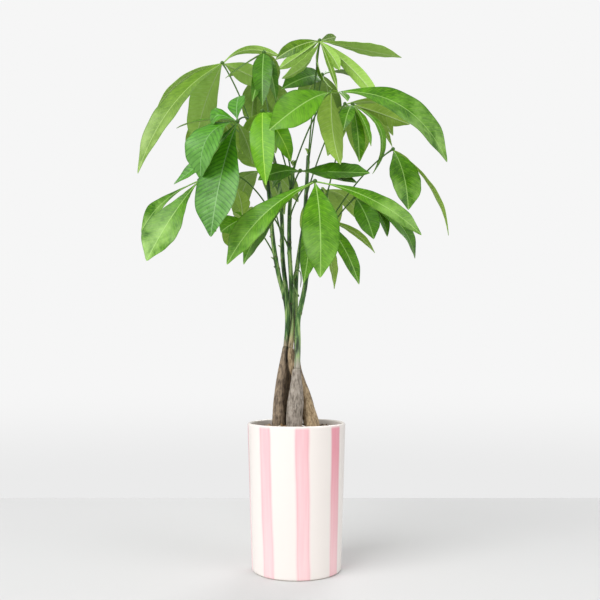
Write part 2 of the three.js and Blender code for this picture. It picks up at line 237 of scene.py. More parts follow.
def turned_shape(radii, heights, around, **extra):
    """A skin turned round the pot's axis: each pair of a radius and a height is one ring."""
    angle = full_turn(around)
    radii, heights = (np.reshape(sizes, (len(sizes), -1)) + 0 * angle for sizes in (radii, heights))
    return sleeve(np.stack([radii * np.cos(angle), radii * np.sin(angle), heights], axis=-1), **extra)


def dress(tree, shader, colour, *layers, relief=None):
    """Gives a shader its colour, with layers over it, and its relief.

    A layer has the share that it covers and its colour, and a relief its strength, its depth and what it
    follows. Sockets 6 and 7 are a Mix node's two colours.
    """
    for share, over in layers:
        colour = add_node(tree, "Mix", {0: share, 6: colour, 7: over}, data_type="RGBA")
    connect(tree, shader, {"Base Color": colour})
    if relief:
        sockets = dict(zip(("Strength", "Distance", "Height"), relief))
        connect(tree, shader, {"Normal": add_node(tree, "Bump", sockets)})


def pot_profile():
    """The pot's section from the middle of its underside to the middle of its floor: radii and heights.

    The foot's edge is a quarter circle, the rim a half circle across the wall, and the wall widens evenly.
    """
    quarter = np.linspace(-np.pi / 2, 0, 8)
    half = np.linspace(0, np.pi, 13)[1:]
    rim_round = POT_WALL / 2
    up = np.linspace(0, 1, 60)[1:]
    foot_r = POT_FOOT_RADIUS - POT_FOOT_ROUND + POT_FOOT_ROUND * np.cos(quarter)
    foot_z = POT_FOOT_ROUND + POT_FOOT_ROUND * np.sin(quarter)
    wall_r = POT_FOOT_RADIUS + (POT_RADIUS - POT_FOOT_RADIUS) * up
    wall_z = POT_FOOT_ROUND + (POT_HEIGHT - rim_round - POT_FOOT_ROUND) * up
    rim_r = POT_RADIUS - rim_round + rim_round * np.cos(half)
    rim_z = POT_HEIGHT - rim_round + rim_round * np.sin(half)
    inside_r = np.linspace(POT_RADIUS - POT_WALL, POT_FOOT_RADIUS - POT_WALL, 24)[1:]
    inside_z = np.linspace(POT_HEIGHT - rim_round, POT_FLOOR, 24)[1:]
    radii = np.concatenate([[0.02, 0.045], foot_r, wall_r, rim_r, inside_r, [0.03, 0.01]])
    heights = np.concatenate([[0, 0], foot_z, wall_z, rim_z, inside_z, [POT_FLOOR, POT_FLOOR]])
    return radii, heights


# Glazed stoneware: a glassy coat over white slip. The coat is faintly uneven, so reflections swim a little.
glaze, tree, shader = new_material("pink_banded_glaze", Roughness=0.18, IOR=1.5)
place = add_node(tree, "TexCoord").outputs["Object"]
axes = add_node(tree, "SeparateXYZ", {0: place}).outputs
forward = add_node(tree, "Math", {0: axes["Y"], 1: -1.0}, operation="MULTIPLY")
angle = add_node(tree, "Math", {0: axes["X"], 1: forward}, operation="ARCTAN2")
leant = add_node(tree, "Math", {0: axes["Z"], 1: math.radians(BAND_LEAN_DEG) / POT_HEIGHT, 2: angle},
                 operation="MULTIPLY_ADD")
start_turn = BAND_OFFSET_DEG + BAND_LEAN_DEG
bands = add_node(tree, "Math", {0: leant, 1: BANDS / (2 * math.pi), 2: -start_turn * BANDS / 360},
                 operation="MULTIPLY_ADD")
# The brush wavers by about a degree over a hand's width, and its hairs leave streaks a few millimetres apart.
tall = add_node(tree, "Mapping", {"Vector": place, "Scale": (1, 1, 0.35)})
waver = add_node(tree, "TexNoise", {"Vector": tall, "Scale": 30, "Detail": 3})
long = add_node(tree, "Mapping", {"Vector": place, "Scale": (1, 1, 0.03)})
hairs = add_node(tree, "TexNoise", {"Vector": long, "Scale": 260, "Detail": 3, "Roughness": 0.5})
sway = add_node(tree, "Math", {0: waver, 1: 0.09, 2: -0.045}, operation="MULTIPLY_ADD")
fray = add_node(tree, "Math", {0: hairs, 1: 0.03, 2: sway}, operation="MULTIPLY_ADD")
swayed = add_node(tree, "Math", {0: bands, 1: fray}, operation="ADD")
off_middle = add_node(tree, "Math", {0: swayed, 1: 0.5}, operation="PINGPONG")
band_edge = BAND_HALF_DEG * BANDS / 360
inside_band = add_node(tree, "MapRange", {"Value": off_middle,
                                          "From": (band_edge - BAND_BLUR_SHARE, band_edge + BAND_BLUR_SHARE),
                                          "To": (1.0, 0.0)}, interpolation_type="SMOOTHSTEP")
# The pink fades over the rim's top, partly where the glaze runs thin there and partly as a painted highlight
# along the lip, and the brush leaves a little more of it along each edge. The bands on the pot's right were
# laid on fuller than the others, and every band pales towards the foot.
under_rim = add_node(tree, "MapRange", {"Value": axes["Z"],
                                        "From": (POT_HEIGHT - RIM_THIN_AND_HIGHLIGHT[0], POT_HEIGHT - RIM_THIN_AND_HIGHLIGHT[1]),
                                        "To": (1.0, 0.12)})
fuller = add_node(tree, "MapRange", {"Value": axes["X"], "From": (0.01, 0.045), "To": (0.35, 0.95)})
drained = add_node(tree, "MapRange", {"Value": axes["Z"], "From": (0.02, 0.16), "To": (0.25, 1.0)})
laid = add_node(tree, "Math", {0: fuller, 1: drained}, operation="MULTIPLY")
streaked = add_node(tree, "Math", {0: hairs, 1: 0.6, 2: laid}, operation="MULTIPLY_ADD")
load = add_node(tree, "MapRange", {"Value": streaked, "From": (0.3, 1.3)})
from_edge = add_node(tree, "Math", {0: off_middle, 1: band_edge - 0.03}, operation="SUBTRACT")
beside = add_node(tree, "Math", {0: from_edge}, operation="ABSOLUTE")
edge_line = add_node(tree, "MapRange", {"Value": beside, "From": (0.0, 0.025), "To": (0.3, 0.0)})
loaded = add_node(tree, "Mix", {0: load, 6: BAND_PALE, 7: BAND_ROSE}, data_type="RGBA")
pink = add_node(tree, "Mix", {0: edge_line, 6: loaded, 7: BAND_RIM}, data_type="RGBA")
outer = add_node(tree, "Attribute", attribute_name="outer").outputs["Fac"]
pink_reach = add_node(tree, "Math", {0: under_rim, 1: outer}, operation="MULTIPLY")
cover = add_node(tree, "Math", {0: inside_band, 1: pink_reach}, operation="MULTIPLY")
bare = add_node(tree, "MapRange", {"Value": axes["Z"], "From": FOOT_BARE, "To": (1.0, 0.0)})
swim = add_node(tree, "TexNoise", {"Vector": place, "Scale": 60, "Detail": 2})
dress(tree, shader, IVORY, (cover, pink), (bare, CLAY), relief=(0.25, 0.0006, swim))

pot_radii, pot_heights = pot_profile()
outer_rings = np.arange(len(pot_heights)) <= np.argmax(pot_heights)
outside = {"outer": np.repeat(outer_rings, POT_AROUND)}
pot = add_piece("striped_pot", [turned_shape(pot_radii, pot_heights, POT_AROUND, values=outside)], [glaze])
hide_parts("pot")


# The soil: peaty potting mix, filled up to a few millimetres under the rim, pressed down round the trunks
# and left lumpy. It is dark where it is damp and paler on the dry crumbs.
SOIL_EDGE = 0.187
SOIL_CROWN = 0.1905
SOIL_GAP = 0.0003
SOIL_AROUND = 200
SOIL_RINGS = 64
LUMP = 0.0011
PEAT_DARK = "2a1f17"
PEAT_PALE = "5d4a38"


def waves(x, y, lengths, seed):
    """A lumpy field between about -1 and 1: for each length, waves of it cross in four random directions."""
    draw = np.random.default_rng(seed)
    total = np.zeros(np.broadcast(x, y).shape)
    for length in lengths:
        for _ in range(4):
            heading, phase = draw.uniform(0, 2 * np.pi, 2)
            total += np.sin((x * np.cos(heading) + y * np.sin(heading)) * 2 * np.pi / length + phase)
    return total / (4 * len(lengths)) * 2


def inside_radius(height):
    """The radius of the pot's inside at a height, less the gap that the soil keeps."""
    share = (height - POT_FLOOR) / (POT_HEIGHT - POT_WALL / 2 - POT_FLOOR)
    return POT_FOOT_RADIUS - POT_WALL + (POT_RADIUS - POT_FOOT_RADIUS) * share - SOIL_GAP


def soil_height(x, y):
    """The soil's surface: a low crown in the middle, and lumps from 4 to 20 mm across."""
    share = np.hypot(x, y) / inside_radius(SOIL_EDGE)
    crown = SOIL_EDGE + (SOIL_CROWN - SOIL_EDGE) * np.clip(1.6 * (1 - share), 0, 1)
    return crown + LUMP * waves(x, y, (0.02, 0.011, 0.006, 0.004), 5)


soil_floor = POT_FLOOR + SOIL_GAP
spread = np.linspace(1, 0.02, SOIL_RINGS)[:, None] * inside_radius(SOIL_EDGE)
turn = full_turn(SOIL_AROUND)[None, :]
top = soil_height(spread * np.cos(turn), spread * np.sin(turn))
side_z = np.linspace(soil_floor, SOIL_EDGE - 2 * LUMP, 12)[:, None]
soil_r = np.concatenate([[[0.02]], inside_radius(side_z), spread])
soil_z = np.concatenate([[[soil_floor]] + 0 * turn, side_z + 0 * turn, top])

# Potting mix: dull and open, with crumbs about 2 mm across.
potting_mix, tree, shader = new_material("potting_mix", Roughness=0.95)
place = add_node(tree, "TexCoord").outputs["Object"]
crumbs = add_node(tree, "TexNoise", {"Vector": place, "Scale": 420, "Detail": 5, "Roughness": 0.65})
shade = add_node(tree, "MapRange", {"Value": crumbs, "From": (0.38, 0.66)})
dress(tree, shader, PEAT_DARK, (shade, PEAT_PALE), relief=(0.9, 0.0012, crumbs))

soil = add_piece("soil_plug", [turned_shape(soil_r, soil_z, SOIL_AROUND)], [potting_mix])
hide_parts("soil")


# The canes: five seedlings planted close and leaned together, as braided ones are. Each starts as a woody
# trunk, thick at the soil, and goes over into a green shoot. The front three show side by side, and the one
# that starts at the right passes behind the middle one. A cane has the height where its bark ends, the share
# of its trunk's length that keeps the foot's radius, four radii (at the foot, at the bark's end, and where
# the shoot starts and ends), and the places that its middle passes through.
CANES = {
    "left": {
        "bark_top": 0.296, "even_share": 0.26, "radii": (0.0093, 0.0042, 0.0035, 0.0024),
        "path": [
            (-0.025, 0.003, 0.15), (-0.024, 0.0015, 0.191), (-0.0225, 0.001, 0.229), (-0.0193, 0.002, 0.262),
            (-0.0145, 0.003, 0.293), (-0.0118, -0.0025, 0.33), (-0.014, -0.003, 0.354),
            (-0.024, -0.003, 0.393), (-0.031, 0.001, 0.436), (-0.036, 0.005, 0.49), (-0.042, 0.004, 0.55),
        ],
    },
    "middle": {
        "bark_top": 0.267, "even_share": 0.62, "radii": (0.0108, 0.0053, 0.004, 0.0022),
        "path": [
            (-0.004, -0.013, 0.15), (-0.0026, -0.0125, 0.193), (-0.001, -0.012, 0.229),
            (0.0007, -0.011, 0.266), (0.002, -0.009, 0.3), (0.002, -0.007, 0.331), (0.0062, -0.007, 0.35),
            (0.0108, -0.008, 0.372), (0.014, -0.008, 0.392), (0.021, -0.006, 0.412), (0.034, 0.0, 0.45),
            (0.04, 0.006, 0.5),
        ],
    },
    "crossing": {
        "bark_top": 0.294, "even_share": 0.26, "radii": (0.011, 0.004, 0.0034, 0.0024),
        "path": [
            (0.027, -0.008, 0.15), (0.0205, -0.004, 0.191), (0.01, 0.0055, 0.229), (0.004, 0.006, 0.248),
            (-0.0055, 0.001, 0.27), (-0.0073, -0.0025, 0.293), (-0.0046, 0.0005, 0.33),
            (-0.0065, 0.003, 0.361), (-0.0075, 0.002, 0.39), (-0.0095, 0.0, 0.428), (-0.009, -0.002, 0.48),
            (-0.004, -0.002, 0.535),
        ],
    },
    "backLeft": {
        "bark_top": 0.292, "even_share": 0.26, "radii": (0.01, 0.004, 0.0034, 0.0024),
        "path": [
            (-0.012, 0.024, 0.15), (-0.012, 0.021, 0.191), (-0.012, 0.019, 0.229), (-0.012, 0.0185, 0.262),
            (-0.01, 0.017, 0.293), (-0.007, 0.015, 0.33), (-0.011, 0.014, 0.357), (-0.015, 0.014, 0.382),
            (-0.019, 0.018, 0.42), (-0.02, 0.024, 0.47), (-0.024, 0.032, 0.52), (-0.032, 0.04, 0.56),
        ],
    },
    "backRight": {
        "bark_top": 0.288, "even_share": 0.26, "radii": (0.01, 0.004, 0.0034, 0.0024),
        "path": [
            (0.023, 0.025, 0.15), (0.019, 0.024, 0.191), (0.012, 0.025, 0.229), (0.006, 0.023, 0.248),
            (0.001, 0.02, 0.27), (0.0, 0.016, 0.3), (0.0, 0.0135, 0.33), (-0.001, 0.0125, 0.36),
            (0.0, 0.012, 0.395), (0.004, 0.013, 0.425), (0.01, 0.018, 0.465), (0.014, 0.026, 0.52),
            (0.016, 0.03, 0.56),
        ],
    },
}
# Bark, pale and dark, and the green shoot's colours at its foot and at its top.
CANE_COLOURS = {
    "left": (("9c8a74", "53463a"), ("447236", "3c7020")),
    "middle": (("aba196", "6a6156"), ("8e9c7a", "3f7226")),
    "crossing": (("bfa886", "7a6549"), ("c2ae86", "3c7022")),
    "backLeft": (("8a7962", "4c4032"), ("708c54", "34641e")),
    "backRight": (("94836c", "51442f"), ("76905a", "366820")),
}
# The near black of the bark's cracks, also painted on as shade where canes touch.
BARK_CRACK_AND_SHADE = "18110b"
STEM_STREAK = "12260a"
STEM_CORK = "a0bc70"
STEM_SCAR = "5d4c30"
# Painted shade where two shoots touch.
STEM_PAINTED_SHADE = "181c0e"
BORDER_RAGGED = 0.06
TRUNK_ROWS = 150
TRUNK_AROUND = 72
STEM_ROWS = 220
STEM_AROUND = 24
FURROWS = 13
FURROW_DEPTH = 0.00045
LUMP_HEIGHT = 0.0005
SCAR_HEIGHT = 0.0003
NODE_SWELL = 0.0006
NODE_HALF = 0.002
TRUNK_END_ROUND = 0.004
# How far the painted shade reaches from where canes touch, on the trunks and on the shoots.
TRUNK_CREVICE = 0.0036
STEM_CREVICE = 0.0024
CANE_GAP = 0.0003
SIDEWAYS = np.array([1.0, 0.0, 0.0])


def unit(vectors):
    """Vectors of length one."""
    return vectors / np.linalg.norm(vectors, axis=-1, keepdims=True)


def smooth_line(places):
    """A smooth line through the places, in 40 points from each place to the next.

    Each stretch blends the straight runs between its two places and their neighbours, with knots spaced by
    the square roots of the distances, so the line neither loops nor overshoots.
    """
    places = np.asarray(places)
    before, after = 2 * places[:1] - places[1:2], 2 * places[-1:] - places[-2:-1]
    row = np.concatenate([before, places, after])
    gaps = np.sqrt(np.linalg.norm(np.diff(row, axis=0), axis=1))[:, None, None]
    p0, p1, p2, p3 = (row[i:len(row) - 3 + i, None] for i in range(4))
    k1, k2, k3 = gaps[:-2], gaps[:-2] + gaps[1:-1], gaps[:-2] + gaps[1:-1] + gaps[2:]
    knot = k1 + (k2 - k1) * np.linspace(0, 1, 40, endpoint=False)[None, :, None]

    def between(a, b, start, end):
        return a + (b - a) * (knot - start) / (end - start)

    middle = between(p1, p2, k1, k2)
    early = between(between(p0, p1, 0, k1), middle, 0, k2)
    late = between(middle, between(p2, p3, k2, k3), k1, k3)
    return np.concatenate([between(early, late, k1, k2).reshape(-1, 3), places[-1:]])


def lengths_along(line):
    """How far along the line each of its points is."""
    return np.concatenate([[0], np.cumsum(np.linalg.norm(np.diff(line, axis=0), axis=1))])


def points_along(line, shares):
    """Points at shares of the line's length."""
    length = lengths_along(line)
    return np.stack([np.interp(shares * length[-1], length, line[:, axis]) for axis in range(3)], axis=-1)


def share_at_height(line, height):
    """The share of a rising line's length at which it reaches a height."""
    length = lengths_along(line)
    return np.interp(height, line[:, 2], length) / length[-1]


def nearness(rings, name, reach):
    """How near each point of a cane's skin is to another cane, from 1 where they touch to a third at reach.

    Another cane is taken as a row of balls, at every third point of its line.
    """
    gap = np.full(rings.shape[:2], np.inf)
    for other, line in cane_lines.items():
        if other == name:
            continue
        cane = CANES[other]
        places = line[::3]
        rises = (0, cane["bark_top"], cane["bark_top"] + 0.001, places[-1, 2])
        radii = np.interp(places[:, 2], rises, cane["radii"])
        for place, radius in zip(places, radii):
            gap = np.minimum(gap, np.linalg.norm(rings - place, axis=-1) - radius)
    return np.exp(-(gap.clip(0) / reach) ** 2).ravel()


def round_skin(line, radii, side, around, **extra):
    """A round skin along a line, with a radius for each point, or for each point and angle.

    Its rings stand square to the line. side is a direction that the line never takes.
    """
    tangent = unit(np.gradient(line, axis=0))
    across = unit(side - (tangent @ side)[:, None] * tangent)
    other = np.cross(tangent, across)
    angle = full_turn(around)[None, :, None]
    spoke = across[:, None] * np.cos(angle) + other[:, None] * np.sin(angle)
    radii = np.broadcast_to(np.reshape(radii, (len(line), -1)), (len(line), around))
    return sleeve(line[:, None] + radii[..., None] * spoke, **extra)


def bark_relief(turn, height, seed):
    """The bark's height over a smooth trunk, and how deep in a furrow each point is, from 0 to 1.

    Slow lumps, upright furrows that wander sideways and fade in and out, and half rings of old leaf scars.
    """
    draw = np.random.default_rng(seed)
    lumps, wander = 0, 0
    for folds in (1, 2, 3, 2, 3):
        length, phase, other = draw.uniform(0.03, 0.09), *draw.uniform(0, 2 * np.pi, 2)
        lumps = lumps + np.cos(folds * turn + phase) * np.cos(2 * np.pi * height / length + other)
        wander = wander + 0.5 * np.sin(2 * np.pi * height / length + other + folds * turn)
    furrow = 1 - np.abs(np.sin(FURROWS / 2 * turn + wander)) ** 0.55
    fade = 0.5 + 0.5 * np.sin(5 * turn + 2 * np.pi * height / 0.021 + 2 * wander)
    furrow = furrow * (0.35 + 0.65 * fade)
    scars = 0
    for place in draw.uniform(0.19, 0.3, 9):
        facing = draw.uniform(0, 2 * np.pi)
        ring = np.exp(-((height - place - 0.0012 * np.cos(turn - facing)) / 0.0009) ** 2)
        scars = scars + ring * np.clip(0.4 + np.cos(turn - facing), 0, 1)
    return LUMP_HEIGHT * lumps / 2 - FURROW_DEPTH * furrow + SCAR_HEIGHT * scars, furrow


def bark(name, pale, dark, green, top):
    """Young bark: dry, dull and finely cracked, streaked lengthwise, and greening a little where it ends.

    The streaks are 2 mm wide, twice as wide as real ones, so that they show.
    """
    material, tree, shader = new_material(name, Roughness=0.85)
    place = add_node(tree, "TexCoord").outputs["Object"]
    tall = add_node(tree, "Mapping", {"Vector": place, "Scale": (1, 1, 0.22)})
    streaks = add_node(tree, "TexNoise", {"Vector": tall, "Scale": 480, "Detail": 5, "Roughness": 0.7})
    blotches = add_node(tree, "TexNoise", {"Vector": place, "Scale": 130, "Detail": 3})
    mixed = add_node(tree, "Math", {0: blotches, 1: 0.55, 2: streaks}, operation="MULTIPLY_ADD")
    pale_share = add_node(tree, "MapRange", {"Value": mixed, "From": (0.62, 0.9)})
    # The bark darkens to near black in its furrows, where its cracks are, and is painted dark as shade where
    # another cane comes near.
    furrow, near = (
        add_node(tree, "Attribute", attribute_name=value).outputs["Fac"] for value in ("furrow", "near"))
    depth = add_node(tree, "Math", {0: near, 1: 1.1, 2: furrow}, operation="MULTIPLY_ADD")
    crack_and_shade = add_node(tree, "MapRange", {"Value": depth, "From": (0.3, 0.9), "To": (0.0, 0.92)})
    height = add_node(tree, "SeparateXYZ", {0: place}).outputs["Z"]
    ragged = add_node(tree, "Math", {0: streaks, 1: BORDER_RAGGED, 2: height}, operation="MULTIPLY_ADD")
    greening = add_node(tree, "MapRange", {"Value": ragged, "From": (top + 0.029, top + 0.042),
                                           "To": (0.0, 0.5)})
    dress(tree, shader, dark, (pale_share, pale), (crack_and_shade, BARK_CRACK_AND_SHADE), (greening, green),
          relief=(0.8, 0.0006, streaks))
    return material


def green_stem(name, low, high, wood, bottom):
    """A green shoot's skin: waxy, with dark and corky streaks about 4 mm wide and 3 cm long.

    Each node has a brown scar, and shade is painted dark where two shoots touch. The colour goes over from
    low to high as the shoot rises, and the wood's colour runs raggedly up its foot.
    """
    material, tree, shader = new_material(name, Roughness=0.42)
    place = add_node(tree, "TexCoord").outputs["Object"]
    height = add_node(tree, "SeparateXYZ", {0: place}).outputs["Z"]
    long = add_node(tree, "Mapping", {"Vector": place, "Scale": (1, 1, 0.14)})
    streaks = add_node(tree, "TexNoise", {"Vector": long, "Scale": 260, "Detail": 4})
    jagged = add_node(tree, "Math", {0: streaks, 1: 0.05, 2: height}, operation="MULTIPLY_ADD")
    climb = add_node(tree, "MapRange", {"Value": jagged, "From": (bottom + 0.02, bottom + 0.085)},
                     interpolation_type="SMOOTHSTEP")
    shade = add_node(tree, "MapRange", {"Value": streaks, "From": (0.35, 0.52), "To": (0.95, 0.0)})
    cork = add_node(tree, "MapRange", {"Value": streaks, "From": (0.5, 0.62), "To": (0.0, 0.75)})
    node, near = (
        add_node(tree, "Attribute", attribute_name=value).outputs["Fac"] for value in ("node", "near"))
    scar = add_node(tree, "MapRange", {"Value": node, "From": (0.55, 1.0), "To": (0.0, 0.7)})
    ragged = add_node(tree, "Math", {0: streaks, 1: -BORDER_RAGGED, 2: height}, operation="MULTIPLY_ADD")
    woody = add_node(tree, "MapRange", {"Value": ragged, "From": (bottom - 0.028, bottom - 0.018),
                                        "To": (0.9, 0.0)})
    # Painted shade: the skin is painted dark where another cane comes near.
    painted_shade = add_node(tree, "Math", {0: near, 1: 0.85}, operation="MULTIPLY")
    dress(tree, shader, low, (climb, high), (shade, STEM_STREAK), (cork, STEM_CORK), (scar, STEM_SCAR),
          (woody, wood), (painted_shade, STEM_PAINTED_SHADE), relief=(0.5, 0.0005, streaks))
    return material


def trunk_skin(name, seed):
    """A trunk: its foot's radius over the even share of its length, then an even taper, under the bark.

    Over its last 4 mm it rounds in to the green shoot.
    """
    line, cane = cane_lines[name], CANES[name]
    foot, bark_end, shoot = cane["radii"][:3]
    split = share_at_height(line, cane["bark_top"])
    length = lengths_along(line)[-1]
    start = CANE_GAP / length
    share = np.linspace(0, 1, TRUNK_ROWS)
    middle = points_along(line, start + (split - start) * share)
    even = cane["even_share"]
    taper = np.clip((share - even) / (1 - even), 0, 1)
    turn = full_turn(TRUNK_AROUND)[None, :]
    radius = (foot + (bark_end - foot) * taper)[:, None]
    relief, furrow = bark_relief(turn, middle[:, 2:], seed)
    radii = radius + relief * np.clip(radius / foot, 0.45, 1)
    from_end = np.clip((1 - share[:, None]) * (split - start) * length / TRUNK_END_ROUND, 0, 1)
    radii = shoot + (radii - shoot) * np.sqrt(1 - (1 - from_end) ** 2)
    skin = round_skin(middle, radii, SIDEWAYS, TRUNK_AROUND)
    near = nearness(skin["points"].reshape(TRUNK_ROWS, TRUNK_AROUND, 3), name, TRUNK_CREVICE)
    return {**skin, "values": {"furrow": furrow.ravel(), "near": near}}


def stem_skin(name, nodes):
    """A green shoot: an even taper with a one-sided swelling at each node, rounded off at its tip.

    From node to node the swollen side turns by about 137 degrees, as the leaves on a shoot do.
    """
    line, cane = cane_lines[name], CANES[name]
    start_radius, end_radius = cane["radii"][2:]
    length = lengths_along(line)[-1]
    start = share_at_height(line, cane["bark_top"]) + CANE_GAP / length
    share = np.linspace(0, 1, STEM_ROWS)
    middle = points_along(line, start + (1 - CANE_GAP / length - start) * share)
    angle = full_turn(STEM_AROUND)[None, :]
    swell = 0
    for order, node in enumerate(nodes):
        facing = np.clip(0.35 + 0.65 * np.cos(angle - 2.4 * order), 0, 1)
        slant = 0.0012 * np.cos(angle - 2.4 * order)
        swell = swell + facing * np.exp(-((middle[:, 2:] - node - slant) / NODE_HALF) ** 2)
    radii = (start_radius + (end_radius - start_radius) * share)[:, None] + NODE_SWELL * swell
    from_tip = np.clip((1 - share[:, None]) * length * (1 - start) / end_radius, 0, 1)
    radii = radii * np.sqrt(1 - (1 - from_tip) ** 2 * 0.96)
    skin = round_skin(middle, radii, SIDEWAYS, STEM_AROUND)
    near = nearness(skin["points"].reshape(STEM_ROWS, STEM_AROUND, 3), name, STEM_CREVICE)
    return {**skin, "values": {"node": swell.ravel(), "near": near}}


cane_lines = {name: smooth_line(cane["path"]) for name, cane in CANES.items()}

